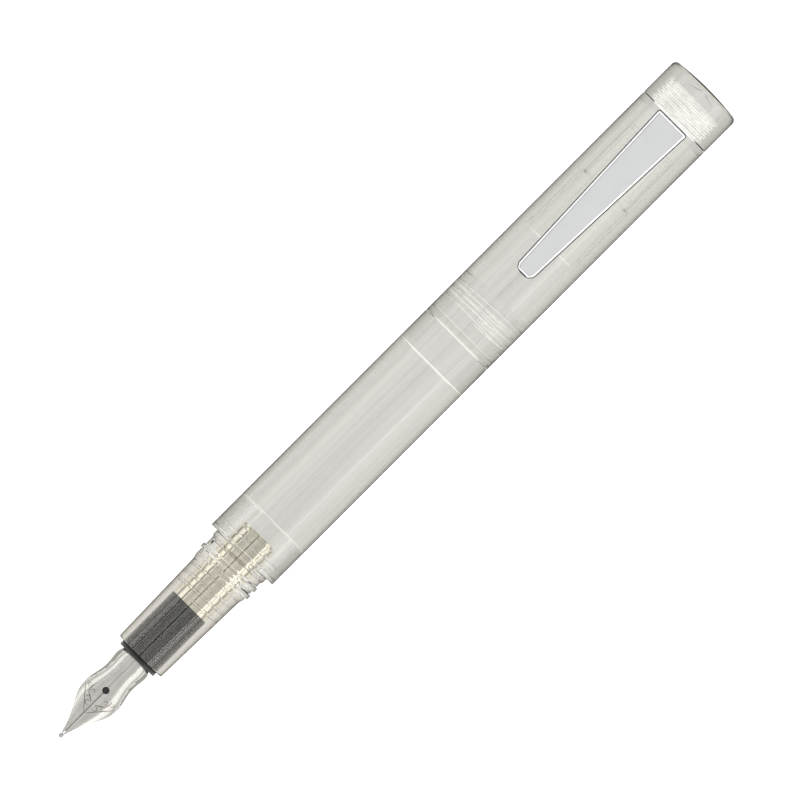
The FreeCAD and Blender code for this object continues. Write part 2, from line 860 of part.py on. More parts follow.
barrel = new_body("barrel")
turned(
    barrel,
    "barrel_turned",
    [
        ("barrel_front", "barrel_mouth_radius"),
        ("barrel_front", "pen_radius"),
        ("barrel_shoulder", "pen_radius"),
        ("barrel_shoulder", "tail_radius"),
        ("tail_ring_front", "tail_radius"),
        ("tail_ring_front", "tail_ring_root"),
        ("tail_ring_back", "tail_ring_root"),
        ("tail_ring_back", "tail_radius"),
        ("tail_thread_front", "tail_radius"),
        ("tail_thread_front", "cap_thread_root"),
        ("tail_end", "cap_thread_root"),
        ("tail_end", "zero"),
        ("chamber_end", "zero"),
        ("chamber_end", "chamber_round_r", bend("chamber_corner", 1)),
        ("chamber_round_x", "chamber_radius"),
        ("chamber_start", "chamber_radius"),
        ("barrel_thread_back", "barrel_minor"),
        ("tenon_thread_front", "barrel_minor"),
        ("tenon_thread_front", "barrel_mouth_radius"),
    ],
)
barrel_ends = (size("barrel_front"), size("barrel_shoulder"))
full_radius = size("pen_radius")
round_edges(
    barrel,
    "barrel_edges",
    lambda e: any(ring_edge(e, x, full_radius) for x in barrel_ends),
    "small_edge",
)
groove = thread_cells("barrel_groove")
helix(
    barrel,
    "barrel_front_thread",
    "Subtractive",
    "barrel_pitch",
    "barrel_groove_length",
    thread_outline(groove, "barrel_groove_foot", "barrel_major"),
)
ridge = thread_cells("tail_ridge")
helix(
    barrel,
    "tail_thread",
    "Additive",
    "cap_pitch",
    "tail_ridge_length",
    thread_outline(ridge, "cap_ridge_foot", "cap_ridge_crest"),
)

post_seal = new_body("posting_seal")
turned(
    post_seal,
    "posting_seal_turned",
    [
        ("post_ring_front", "post_ring_bore"),
        ("post_ring_front", "post_ring_radius"),
        ("post_ring_back", "post_ring_radius"),
        ("post_ring_back", "post_ring_bore"),
    ],
)

# ---- cap ----

# The cap is turned from an outline at its side, so that no face closes across the clip's slot.
cap = new_body("cap_tube")
turned(
    cap,
    "cap_turned",
    [
        ("cap_lip", "cap_mouth_radius"),
        ("cap_lip", "pen_radius"),
        ("cap_top", "pen_radius"),
        ("cap_top", "stud_root"),
        ("stud_end", "stud_root"),
        ("stud_end", "zero"),
        ("cap_bore_end", "zero"),
        ("cap_bore_end", "cap_bore"),
        ("cap_thread_mouth", "cap_bore"),
        ("cap_mouth_back", "cap_mouth_radius"),
    ],
    "XY_Plane",
)
cap_ends = (size("cap_lip"), size("cap_top"))
round_edges(
    cap,
    "cap_edges",
    lambda e: any(ring_edge(e, x, full_radius) for x in cap_ends),
    "small_edge",
)
slot_outline = new_sketch(cap, "slot_outline", "XZ_Plane")
add_outline(
    slot_outline,
    [
        ("slot_front", "slot_low"),
        ("slot_back", "slot_low"),
        ("slot_back", "slot_top"),
        ("slot_front", "slot_top"),
    ],
)
doc.recompute()
pocket(cap, "clip_slot", slot_outline, "slot_width", both=True)
groove = thread_cells("cap_groove")
helix(
    cap,
    "cap_inner_thread",
    "Subtractive",
    "cap_pitch",
    "cap_groove_length",
    thread_outline(groove, "cap_groove_foot", "cap_groove_depth"),
)
ridge = thread_cells("stud_ridge")
helix(
    cap,
    "stud_thread",
    "Additive",
    "stud_pitch",
    "stud_ridge_length",
    thread_outline(ridge, "stud_ridge_foot", "stud_crest"),
)

# ---- finial ----

finial = new_body("cap_finial")
turned(
    finial,
    "finial_turned",
    [
        ("finial_front", "finial_bore"),
        ("finial_front", "pen_radius"),
        ("finial_side_end", "pen_radius", bend("finial_edge_arc", 1)),
        ("finial_edge_x", "finial_edge_radius", (size("finial_dome_arc"), 1, "centre on axis")),
        ("pen_length", "zero"),
        ("drill_tip", "zero"),
        ("finial_bore_end", "finial_bore"),
    ],
)
finial_x = size("finial_front")
round_edges(finial, "finial_edge", lambda e: ring_edge(e, finial_x, full_radius), "small_edge")
groove = thread_cells("finial_groove")
helix(
    finial,
    "finial_thread",
    "Subtractive",
    "stud_pitch",
    "finial_groove_length",
    thread_outline(groove, "finial_groove_foot", "finial_groove_floor"),
)

# ---- inner cap ----

liner = new_body("inner_cap")
turned(
    liner,
    "liner_turned",
    [
        ("liner_front", "liner_bore"),
        ("liner_front", "liner_flange_radius"),
        ("liner_flange_back", "liner_flange_radius"),
        ("liner_flange_slope", "liner_radius"),
        ("liner_step", "liner_radius"),
        ("liner_step_back", "liner_tail_radius"),
        ("liner_back", "liner_tail_radius"),
        ("liner_back", "zero"),
        ("liner_bore_end", "zero"),
        ("liner_bore_end", "liner_tail_bore"),
        ("liner_bore_slope", "liner_tail_bore"),
        ("liner_bore_step", "liner_bore"),
    ],
)

# ---- clip ----

clip = new_body("clip")
arm_outline = new_sketch(clip, "arm_outline", "XZ_Plane")
add_outline(
    arm_outline,
    [
        ("clip_tip_x", "clip_nose_low"),
        ("clip_tip_x", "clip_nose_top"),
        ("clip_nose_x", "clip_top"),
        ("clip_bend_x", "clip_top"),
        ("clip_back_x", "clip_back_top"),
        ("clip_back_x", "clip_seat"),
        ("clip_heel_b", "clip_seat"),
        ("clip_heel_a", "clip_under"),
        ("clip_bump_c", "clip_under"),
        ("clip_bump_b", "clip_seat"),
        ("clip_bump_a", "clip_seat"),
    ],
)
doc.recompute()
pad(clip, "arm", arm_outline, "clip_width", both=True)
for name, sign, turn in (("left", "", 1), ("right", "-", -1)):
    taper = new_sketch(clip, "taper_outline_" + name, "XY_Plane")
    add_outline(
        taper,
        [
            ("clip_past_tip", sign + "clip_tip_flat"),
            ("clip_tip_x", sign + "clip_tip_flat", bend("clip_tip_corner", turn)),
            ("clip_tip_end_x", sign + "clip_tip_end_y"),
            ("clip_back_end_x", sign + "clip_back_half", bend("clip_back_corner", turn)),
            ("clip_back_x", sign + "clip_back_flat"),
            ("clip_past_back", sign + "clip_back_flat"),
            ("clip_past_back", sign + "clip_far_y"),
            ("clip_past_tip", sign + "clip_far_y"),
        ],
    )
    doc.recompute()
    pocket(clip, "taper_" + name, taper, "clip_cut_height", both=True)


top_z = size("clip_top")


def top_side(edge):
    """True for the long edges of the arm's top face."""
    ends = [v.Point for v in edge.Vertexes]
    if len(ends) != 2:
        return False
    level = abs(ends[0].z - top_z) < 0.01 and abs(ends[1].z - top_z) < 0.01
    return level and abs(ends[0].x - ends[1].x) > 10


round_edges(clip, "clip_top_round", top_side, "clip_top_edge")
fold_outline = new_sketch(clip, "fold_outline", "XY_Plane")
add_outline(
    fold_outline,
    [
        ("fold_front", "-fold_front_half"),
        ("fold_back", "-fold_back_half"),
        ("fold_back", "fold_back_half"),
        ("fold_front", "fold_front_half"),
    ],
)
doc.recompute()
pocket(clip, "fold_hollow", fold_outline, "fold_top", flip=True)

foot = new_body("clip_foot")
leg_outline = new_sketch(foot, "leg_outline", "XZ_Plane")
add_outline(
    leg_outline,
    [
        ("leg_front", "foot_low"),
        ("leg_back", "foot_low"),
        ("leg_back", "leg_top"),
        ("leg_front", "leg_top"),
    ],
)
doc.recompute()
pad(foot, "leg", leg_outline, "leg_width", both=True)
foot_outline = new_sketch(foot, "foot_outline", "XZ_Plane")
add_outline(
    foot_outline,
    [
        ("foot_front", "foot_low"),
        ("leg_back", "foot_low"),
        ("leg_back", "foot_top"),
        ("foot_front", "foot_top"),
    ],
)
doc.recompute()
pad(foot, "foot", foot_outline, "foot_width", both=True)

# ---- checks and export ----

doc.recompute()
for thing in doc.Objects:
    if "Invalid" in thing.State or "Error" in thing.State:
        raise RuntimeError(thing.Name + " is " + str(thing.State))

os.makedirs("parts", exist_ok=True)
for body in doc.Objects:
    if body.TypeId != "PartDesign::Body":
        continue
    shape = body.Shape
    if shape.isNull() or not shape.isValid():
        raise RuntimeError(body.Label + " has no valid shape")
    if len(shape.Solids) != 1:
        raise RuntimeError(body.Label + " has " + str(len(shape.Solids)) + " solids")
    shape.exportStep("parts/" + body.Label + ".step")
    box = shape.BoundBox
    print(
        body.Label,
        round(shape.Volume, 3),
        [round(c, 2) for c in (box.XMin, box.YMin, box.ZMin, box.XMax, box.YMax, box.ZMax)],
    )
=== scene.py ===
import math
import bpy
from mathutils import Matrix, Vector
from mathutils.bvhtree import BVHTree


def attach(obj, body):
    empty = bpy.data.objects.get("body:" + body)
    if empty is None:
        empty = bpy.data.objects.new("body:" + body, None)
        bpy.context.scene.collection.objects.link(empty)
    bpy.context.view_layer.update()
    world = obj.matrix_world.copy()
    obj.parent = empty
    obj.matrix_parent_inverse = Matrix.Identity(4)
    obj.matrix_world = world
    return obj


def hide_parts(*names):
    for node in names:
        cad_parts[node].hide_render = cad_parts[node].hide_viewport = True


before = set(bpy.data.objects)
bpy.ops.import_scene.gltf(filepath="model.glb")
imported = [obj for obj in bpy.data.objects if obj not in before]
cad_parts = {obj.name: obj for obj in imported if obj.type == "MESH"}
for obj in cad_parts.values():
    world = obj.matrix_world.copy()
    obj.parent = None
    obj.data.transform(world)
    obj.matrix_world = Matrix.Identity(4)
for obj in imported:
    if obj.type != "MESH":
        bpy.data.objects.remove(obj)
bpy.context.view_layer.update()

# Sizes along the pen are in mm from the nib's tip, radii are in mm from the pen's axis.
HALF_LENGTH = 69.7
AXIS_Z = 6.5
PEN_R = 6.5
EDGE = 0.1
MM = 0.001
AROUND = 160
THREAD_STEP = 0.06
# Edges sharper than this stay sharp on turned pieces and the clip.
SHARP_DEGREES = 32
# The thread's sides are the faces that climb at least this much for their length.
STEEP_CLIMB = 0.9

# The acrylic pieces' materials, by number.
INSIDE, SKIN, CUT, PAINTED_GLINT, GREASED, GLOWING_LIP = range(6)
# The clip's materials, by number.
FACE, PAINTED_RIM_SHADE, PAINTED_HIGHLIGHT, PAINTED_LINE_SHADE = range(4)


def place(along, across, up):
    """A point of the pen in metres, from mm along the pen and mm from its axis."""
    return ((along - HALF_LENGTH) * MM, across * MM, (up + AXIS_Z) * MM)


def new_object(name, verts, faces):
    """An object in the scene with a mesh of its own."""
    mesh = bpy.data.meshes.new(name)
    mesh.from_pydata(verts, [], faces)
    obj = bpy.data.objects.new(name, mesh)
    bpy.context.scene.collection.objects.link(obj)
    return obj


# ---- turned pieces ----

def ridge(start, length, pitch, wide, narrow, height):
    """A right-hand screw ridge as a height over the wall. wide and narrow are its half widths
    at the wall and at the crest, and a negative height cuts a groove."""
    turns = length / pitch

    def rise(along, angle):
        turn = angle / (2 * math.pi)
        lap = round((along - start) / pitch - turn)
        done = turn + lap
        if done < -0.02 or done > turns + 0.02:
            return 0.0
        off = abs(along - start - pitch * done)
        share = (wide - off) / (wide - narrow)
        fade = min((done + 0.02) / 0.05, (turns + 0.02 - done) / 0.05, 1.0)
        return height * max(0.0, min(1.0, share)) * fade

    return rise


def stretch(first, last, radius, rise):
    """Closely spaced stations over a threaded stretch."""
    count = max(2, int(abs(last - first) / THREAD_STEP))
    return [(first + (last - first) * i / count, radius, rise) for i in range(count + 1)]


def rounded(x0, r0, x1, r1, bulge, steps=5):
    """Stations along a quarter-like curve from (x0, r0) to (x1, r1) round the corner (x1, r0)
    if bulge is 'along' or (x0, r1) if it is 'out'."""
    spots = []
    for i in range(steps + 1):
        a = math.pi / 2 * i / steps
        if bulge == "out":
            spots.append((x0 + (x1 - x0) * (1 - math.cos(a)), r0 + (r1 - r0) * math.sin(a)))
        else:
            spots.append((x0 + (x1 - x0) * math.sin(a), r0 + (r1 - r0) * (1 - math.cos(a))))
    return spots


def turned(name, stations, finish=None, flanks=None, around=AROUND):
    """A closed solid turned about the pen's axis from its outline's stations. finish gives
    the number of a face's material from the face's place along the pen and its radius.
    flanks is the number for the steep sides of a screw thread."""
    verts = []
    rings = []
    radii = []
    for station in stations:
        along, radius = station[0], station[1]
        rise = station[2] if len(station) > 2 else None
        if radius == 0:
            rings.append([len(verts)])
            radii.append([0])
            verts.append(place(along, 0, 0))
            continue
        ring = []
        sizes = []
        for i in range(around):
            angle = 2 * math.pi * i / around
            r = radius + (rise(along, angle) if rise else 0.0)
            sizes.append(r)
            ring.append(len(verts))
            verts.append(place(along, -r * math.sin(angle), r * math.cos(angle)))
        rings.append(ring)
        radii.append(sizes)
    faces = []
    skins = []
    for i in range(len(rings)):
        a, b = rings[i - 1], rings[i]
        if len(a) == 1 and len(b) == 1:
            continue
        middle = [(stations[i - 1][j] + stations[i][j]) / 2 for j in (0, 1)]
        skin = finish(middle[0], middle[1]) if finish else 0
        run = abs(stations[i][0] - stations[i - 1][0])
        threaded = flanks is not None and len(stations[i]) > 2 and len(stations[i - 1]) > 2
        for k in range(around):
            n = (k + 1) % around
            climb = abs(radii[i][k] - radii[i - 1][k]) if threaded else 0
            steep = threaded and climb > STEEP_CLIMB * run and skin in (SKIN, CUT)
            skins.append(flanks if steep else skin)
            if len(a) == 1:
                faces.append((a[0], b[n], b[k]))
            elif len(b) == 1:
                faces.append((a[k], a[n], b[0]))
            else:
                faces.append((a[k], a[n], b[n], b[k]))
    return finished_solid(name, verts, faces, skins)


def finished_solid(name, verts, faces, skins):
    """A smooth closed solid whose faces have the material numbers in skins."""
    obj = new_object(name, verts, faces)
    make_normals_outward(obj.data)
    smooth(obj, SHARP_DEGREES)
    obj.data.polygons.foreach_set("material_index", skins)
    return obj


def make_normals_outward(mesh):
    """Turns all faces round if the closed mesh encloses a negative volume."""
    volume = 0.0
    for face in mesh.polygons:
        corners = [mesh.vertices[i].co for i in face.vertices]
        for i in range(1, len(corners) - 1):
            volume += corners[0].dot(corners[i].cross(corners[i + 1]))
    if volume < 0:
        mesh.flip_normals()


def smooth(obj, degrees):
    mesh = obj.data
    mesh.shade_smooth()
    mesh.set_sharp_from_angle(angle=math.radians(degrees))


def stands_for(obj, body, node, materials):
    """The piece takes the place of a CAD node."""
    skins = [p.material_index for p in obj.data.polygons]
    obj.data.materials.clear()
    for material in materials:
        obj.data.materials.append(material)
    obj.data.polygons.foreach_set("material_index", skins)
    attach(obj, body)
    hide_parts(node)
    return obj


# ---- materials ----

class Nodes:
    """A short way to build a material's node tree."""

    def __init__(self, name):
        self.material = bpy.data.materials.new(name)
        self.material.use_nodes = True
        self.tree = self.material.node_tree
        self.shader = self.tree.nodes["Principled BSDF"]

    def add(self, kind):
        return self.tree.nodes.new(kind)

    def link(self, out, into):
        self.tree.links.new(out, into)

    def noise(self, scale, detail=2.0, stretch=(1, 1, 1)):
        where = self.add("ShaderNodeTexCoord")
        mapping = self.add("ShaderNodeMapping")
        mapping.inputs["Scale"].default_value = stretch
        noise = self.add("ShaderNodeTexNoise")
        noise.inputs["Scale"].default_value = scale
        noise.inputs["Detail"].default_value = detail
        self.link(where.outputs["Object"], mapping.inputs["Vector"])
        self.link(mapping.outputs["Vector"], noise.inputs["Vector"])
        return noise.outputs["Fac"]

    def ramp(self, value, low, high, at=(0.3, 0.7)):
        ramp = self.add("ShaderNodeValToRGB")
        ramp.color_ramp.elements[0].position = at[0]
        ramp.color_ramp.elements[1].position = at[1]
        ramp.color_ramp.elements[0].color = (*low, 1)
        ramp.color_ramp.elements[1].color = (*high, 1)
        self.link(value, ramp.inputs["Fac"])
        return ramp.outputs["Color"]

    def between(self, value, low, high):
        spread = self.add("ShaderNodeMapRange")
        spread.inputs["To Min"].default_value = low
        spread.inputs["To Max"].default_value = high
        self.link(value, spread.inputs["Value"])
        return spread.outputs["Result"]


def clear_material(name, low, high, roughness, ior=1.49, clear=1.0, film=None, glow=0.0):
    """A see-through material with faint streaks along the pen. clear is the share of light
    that isn't scattered. film is the colour of a thin skin that shows more at a slant. glow
    is painted light: a faint glow of the material's own that stands for the highlights small glossy
    faces catch from all round."""
    nodes = Nodes(name)
    tint = nodes.ramp(nodes.noise(1000, 2.0, (0.02, 1, 1)), low, high, (0.38, 0.62))
    nodes.link(tint, nodes.shader.inputs["Base Color"])
    nodes.shader.inputs["Transmission Weight"].default_value = clear
    nodes.shader.inputs["IOR"].default_value = ior
    nodes.shader.inputs["Roughness"].default_value = roughness
    if glow:
        nodes.shader.inputs["Emission Color"].default_value = (1.0, 0.99, 0.96, 1)
        nodes.shader.inputs["Emission Strength"].default_value = glow
    if film:
        nodes.shader.inputs["Coat Weight"].default_value = 1.0
        nodes.shader.inputs["Coat IOR"].default_value = 1.0
        nodes.shader.inputs["Coat Roughness"].default_value = 0.0
        nodes.shader.inputs["Coat Tint"].default_value = (*film, 1)
    return nodes.material


def solid_material(name, low, high, metallic, rough_low, rough_high, scale=300, stretch=(1, 1, 1)):
    nodes = Nodes(name)
    grain = nodes.noise(scale, 3.0, stretch)
    nodes.link(nodes.ramp(grain, low, high), nodes.shader.inputs["Base Color"])
    nodes.link(nodes.between(grain, rough_low, rough_high), nodes.shader.inputs["Roughness"])
    nodes.shader.inputs["Metallic"].default_value = metallic
    return nodes


# The acrylic's tint sits in its outer skin, so that hollow and solid stretches look alike.
inside_acrylic = clear_material("acrylic_inside", (0.97, 0.97, 0.965), (0.99, 0.99, 0.985), 0.0)
SKIN_LOW, SKIN_HIGH = (0.89, 0.89, 0.875), (0.975, 0.975, 0.96)
barrel_acrylic = clear_material(
    "acrylic_skin", SKIN_LOW, SKIN_HIGH, 0.0, film=(0.785, 0.78, 0.765)
)
grip_acrylic = clear_material(
    "acrylic_grip_skin", SKIN_LOW, SKIN_HIGH, 0.0, film=(0.81, 0.80, 0.78)
)
# Cut faces bend light little, so that the threads inside stay pale.
cut_acrylic = clear_material(
    "acrylic_cut", (0.985, 0.985, 0.98), (1.0, 1.0, 1.0), 0.05, ior=1.07
)
# Some thread flanks and chamfers glow a little: a painted glint that stands for the sparkle of their
# steep faces.
painted_glint = clear_material(
    "acrylic_painted_glint", (0.985, 0.985, 0.98), (1.0, 1.0, 1.0), 0.05, ior=1.03, glow=0.27
)
# Greased faces inside a joint hardly show.
greased = clear_material(
    "acrylic_greased", (0.975, 0.975, 0.97), (1.0, 1.0, 1.0), 0.03, ior=1.01
)
# The lips are tinted a little darker but glow faintly: a painted highlight for the pale rings at the
# cap's mouth and at the joint of cap tube and finial.
glowing_lip_acrylic = clear_material(
    "acrylic_lip_painted_glow", (0.76, 0.76, 0.745), (0.84, 0.84, 0.825), 0.05, ior=1.03, glow=0.07
)
ACRYLIC = (inside_acrylic, barrel_acrylic, cut_acrylic, painted_glint, greased, glowing_lip_acrylic)
GRIP = (inside_acrylic, grip_acrylic, cut_acrylic, painted_glint, greased)
ring_rubber = clear_material(
    "clear_rubber", (0.97, 0.97, 0.96), (1.0, 1.0, 0.99), 0.08, ior=1.08
)
# The milky plastic glows faintly: painted light that brightens the inner cap.
milky = clear_material(
    "milky_plastic", (0.97, 0.97, 0.96), (1.0, 1.0, 0.99), 0.2, ior=1.05, clear=0.98, glow=0.02
)
black = solid_material("black_plastic", (0.010, 0.010, 0.011), (0.016, 0.016, 0.017), 0, 0.09, 0.12)
black.shader.inputs["IOR"].default_value = 1.9
feed_black = solid_material("feed_plastic", (0.012, 0.012, 0.012), (0.02, 0.02, 0.02), 0, 0.35, 0.45)
black_ring = solid_material("black_rubber", (0.02, 0.02, 0.02), (0.03, 0.03, 0.03), 0, 0.45, 0.6)
plated = solid_material(
    "plated_brass", (0.86, 0.825, 0.72), (0.92, 0.885, 0.78), 1, 0.12, 0.15, 900, (0.1, 1, 1)
)
# The clip's rim, bevel and line are copies of its chrome in other shades: painted shade on the rim and
# the line, a painted highlight on the bevel.
chrome = solid_material("clip_chrome", (0.565, 0.57, 0.572), (0.60, 0.605, 0.607), 1, 0.05, 0.09, 400)
painted_bevel_highlight = solid_material("clip_painted_highlight", (0.88, 0.88, 0.88), (0.94, 0.94, 0.94), 1, 0.05, 0.09, 400)
steel = solid_material("nib_steel", (0.47, 0.455, 0.425), (0.53, 0.515, 0.485), 1, 0.22, 0.27, 700)
painted_shade_line = solid_material("clip_painted_shade_line", (0.38, 0.385, 0.39), (0.42, 0.425, 0.43), 1, 0.05, 0.09, 400)
painted_dark_rim = solid_material("clip_painted_dark_rim", (0.06, 0.06, 0.06), (0.09, 0.09, 0.09), 1, 0.08, 0.12, 400)
# The nib's flanks are a darker copy of its steel: painted shade.
painted_nib_shade = solid_material("nib_painted_shade", (0.19, 0.18, 0.16), (0.25, 0.24, 0.22), 1, 0.12, 0.2, 700)
alloy = solid_material("tip_alloy", (0.36, 0.355, 0.35), (0.44, 0.435, 0.43), 1, 0.2, 0.3, 900)
# Dark lines: the nib's engraving, and also painted shade in the nib's slit.
engraving_and_slit_shade = solid_material("engraving_and_slit_shade_line", (0.09, 0.08, 0.065), (0.14, 0.125, 0.10), 0, 0.5, 0.7)

# ---- threads, the same on both sides of each joint ----

CAP_PITCH = 1.5
BARREL_PITCH = 1.2
UNIT_PITCH = 1.55
STUD_PITCH = 0.75

section_cap_thread = ridge(34.98, 2.55, CAP_PITCH, 0.50, 0.34, 0.34)
tail_thread = ridge(89.25, 3.45, CAP_PITCH, 0.50, 0.34, 0.34)
cap_inner_thread = ridge(87.75, 6.0, CAP_PITCH, 0.56, 0.40, 0.26)
tenon_thread = ridge(42.1, 3.3, BARREL_PITCH, 0.42, 0.24, 0.26)
barrel_thread = ridge(40.9, 4.8, BARREL_PITCH, 0.45, 0.29, 0.27)
section_unit_thread = ridge(28.95, 13.2, UNIT_PITCH, 0.19, 0.15, -0.23)
sleeve_groove = ridge(28.95, 15.2, UNIT_PITCH, 0.24, 0.19, -0.24)
stud_thread = ridge(132.8, 3.0, STUD_PITCH, 0.28, 0.08, 0.38)
finial_thread = ridge(132.05, 4.5, STUD_PITCH, 0.31, 0.11, 0.38)

# ---- section ----

def section_finish(along, radius):
    """The grip and its shoulder have the tinted skin, the tenon is greased, and the corners
    of the seal's groove carry a painted glint."""
    if radius < 3.7:
        return INSIDE
    if along < 39.19:
        return SKIN
    return PAINTED_GLINT if 4.9 < radius < 4.95 else GREASED


section = turned(
    "section_body",
    [(17.34, 3.6), (17.34, 4.17)]
    + rounded(17.34, 4.17, 17.62, 4.45, "out")
    + [(33.6, 4.83), (34.1, 4.95), (34.4, 5.06)]
    + stretch(34.45, 38.1, 5.06, section_cap_thread)
    + [(38.3, 5.22), (38.4, 5.3), (39.1, 5.3), (39.18, 5.22), (39.18, 4.98), (39.8, 4.98)]
    + [(39.9, 4.88), (39.9, 4.45), (41.0, 4.45), (41.0, 4.88), (41.1, 4.98), (41.4, 4.98)]
    + [(41.4, 4.72)]
    + stretch(41.45, 45.95, 4.72, tenon_thread)
    + [(46.1, 4.68), (46.1, 3.6), (46.05, 3.55)]
    + stretch(43.2, 28.2, 3.55, section_unit_thread)
    + [(17.4, 3.55)],
    section_finish,
    CUT,
)
stands_for(section, "section", "section", GRIP)

# ---- barrel ----

def barrel_finish(along, radius):
    """The outside has the tinted skin. The chamber's two ends, the chamfers and the tail's
    thread carry a painted glint, and the thread for the section is greased."""
    if radius > 6.45:
        return SKIN
    if 46.3 < along < 79.7:
        return INSIDE
    if along < 46.3:
        return PAINTED_GLINT if along > 46.1 else GREASED
    chamfer = 5.03 < radius < 5.09 and 85.5 < along < 88.4
    return PAINTED_GLINT if chamfer or 79.7 < along < 79.99 else CUT


barrel = turned(
    "barrel_body",
    [(39.23, 5.07)]
    + rounded(39.23, PEN_R - EDGE, 39.23 + EDGE, PEN_R, "out")
    + rounded(85.4 - EDGE, PEN_R, 85.4, PEN_R - EDGE, "along")
    + [(85.4, 5.12), (85.64, 5.12), (85.75, 5.0), (85.75, 4.9), (86.8, 4.9), (86.8, 5.0)]
    + [(86.91, 5.12), (88.5, 5.12), (88.6, 5.08)]
    + stretch(88.62, 93.25, 5.06, tail_thread)
    + [(93.4, 4.95), (93.4, 0), (80.0, 0), (80.0, 4.98)]
    + rounded(80.0, 4.98, 79.75, 5.23, "out")
    + [(46.3, 5.23), (46.05, 4.8)]
    + stretch(46.0, 41.4, 4.78, barrel_thread)[:-1]
    + [(41.4, 4.78), (41.4, 5.07)],
    barrel_finish,
    PAINTED_GLINT,
)
stands_for(barrel, "barrel", "barrel", ACRYLIC)

# ---- cap tube, finial and inner cap ----

def cap_finish(along, radius):
    """The outside has the tinted skin between two paler lips that glow faintly as painted light. The
    stud is greased.
    """
    if radius > 6.45:
        return GLOWING_LIP if along < 85.55 or along > 132.05 else SKIN
    if along > 132.0:
        return GREASED
    return INSIDE if 94.4 < along < 130.9 else CUT


cap_tube = turned(
    "cap_tube_body",
    [(85.45, 5.5)]
    + rounded(85.45, PEN_R - EDGE, 85.45 + EDGE, PEN_R, "out")
    + rounded(132.15 - EDGE, PEN_R, 132.15, PEN_R - EDGE, "along")
    + [(132.15, 3.12)]
    + stretch(132.25, 136.2, 3.12, stud_thread)
    + [(136.3, 3.02), (136.3, 0), (131.05, 0), (131.05, 5.1), (130.95, 5.2)]
    + stretch(94.4, 88.5, 5.2, cap_inner_thread)
    + [(88.2, 5.5)],
    cap_finish,
)
stands_for(cap_tube, "cap", "cap_tube", ACRYLIC)

finial_stations = [(132.2, 3.2)]
finial_stations += rounded(132.2, PEN_R - EDGE, 132.2 + EDGE, PEN_R, "out")
finial_stations += [(138.35, PEN_R)]
for step in range(1, 7):
    a = math.radians(12 + 11 * step)
    finial_stations.append((138.22 + 0.84 * math.sin(a), 5.66 + 0.84 * math.cos(a)))
dome_start = finial_stations[-1]
for step in range(1, 9):
    share = step / 8
    r = dome_start[1] * (1 - share)
    finial_stations.append((139.4 - (139.4 - dome_start[0]) * (r / dome_start[1]) ** 2, r))
finial_stations += [(138.2, 0), (137.0, 3.06), (136.85, 3.18)]
finial_stations += stretch(136.7, 132.3, 3.18, finial_thread)


def finial_finish(along, radius):
    """The outside has the tinted skin, and its front lip glows faintly as painted light. The joint's
    face and the drilled hole's end are greased."""
    drilled_end = 136.7 < along < 138.25 and radius < 3.3
    if along < 132.3 or drilled_end:
        return GLOWING_LIP if radius > 6.45 else GREASED
    return SKIN if radius > 6.45 or along > 138.3 else CUT


# The finial's thread flanks carry a painted glint.
finial = turned(
    "cap_finial_body",
    finial_stations,
    finial_finish,
    PAINTED_GLINT,
)
stands_for(finial, "cap", "cap_finial", ACRYLIC)

# The inner cap's mouth carries a painted glint.
inner_cap = turned(
    "inner_cap_body",
    [(105.4, 4.6), (105.4, 5.03), (105.52, 5.15), (106.85, 5.15), (106.95, 5.05), (107.0, 5.0)]
    + [(117.2, 5.0)]
    + rounded(117.2, 5.0, 117.55, 4.45, "along", 4)
    + [(127.3, 4.45), (127.5, 4.3), (127.5, 0), (126.9, 0), (126.9, 3.8), (126.7, 4.0)]
    + [(117.4, 4.0), (117.1, 4.55), (105.5, 4.55)],
    lambda along, radius: 1 if along < 105.5 and radius > 5.05 else 0,
)
stands_for(inner_cap, "inner_cap", "inner_cap", (milky, painted_glint))

# ---- rings ----

def round_ring(name, front, back, inner, outer, around_section=16):
    """A ring with a rounded section."""
    mid_x, mid_r = (front + back) / 2, (inner + outer) / 2
    half_x, half_r = (back - front) / 2, (outer - inner) / 2
    stations = []
    for step in range(around_section):
        a = 2 * math.pi * step / around_section
        stations.append((mid_x + half_x * math.cos(a), mid_r + half_r * math.sin(a)))
    return turned(name, stations)


section_o_ring = round_ring("section_o_ring", 39.93, 40.97, 4.48, 5.03)
stands_for(section_o_ring, "section_ring", "section_seal", (ring_rubber,))
posting_o_ring = round_ring("posting_o_ring", 85.78, 86.77, 4.93, 5.45)
stands_for(posting_o_ring, "barrel", "posting_seal", (ring_rubber,))
nib_unit_ring = round_ring("nib_unit_ring", 17.03, 17.31, 3.14, 3.57)
stands_for(nib_unit_ring, "unit_ring", "nib_unit_seal", (black_ring.material,))

# ---- nib unit ----

housing = turned(
    "nib_housing_body",
    [(16.57, 2.75), (16.57, 3.45)]
    + rounded(16.57, 3.45, 16.69, 3.57, "out", 3)
    + [(17.0, 3.57), (17.0, 3.1), (17.36, 3.1), (17.36, 3.45), (17.42, 3.5), (27.95, 3.5)]
    + [(28.0, 3.45), (28.0, 3.0), (43.25, 3.0), (43.3, 2.95), (43.3, 1.2), (24.2, 1.2)]
    + [(24.2, 2.7), (16.62, 2.7)],
    lambda along, radius: 1 if along < 17.4 else 0,
)
stands_for(
    housing, "nib_unit", "nib_housing", (black.material, feed_black.material)
)

sleeve = turned(
    "nib_sleeve_body",
    [(28.03, 3.02), (28.03, 3.46), (28.07, 3.5)]
    + stretch(28.2, 43.25, 3.5, sleeve_groove)
    + [(43.3, 3.45, sleeve_groove), (43.3, 3.02)],
)
stands_for(sleeve, "nib_unit", "nib_sleeve", (plated.material,))

# ---- clip ----

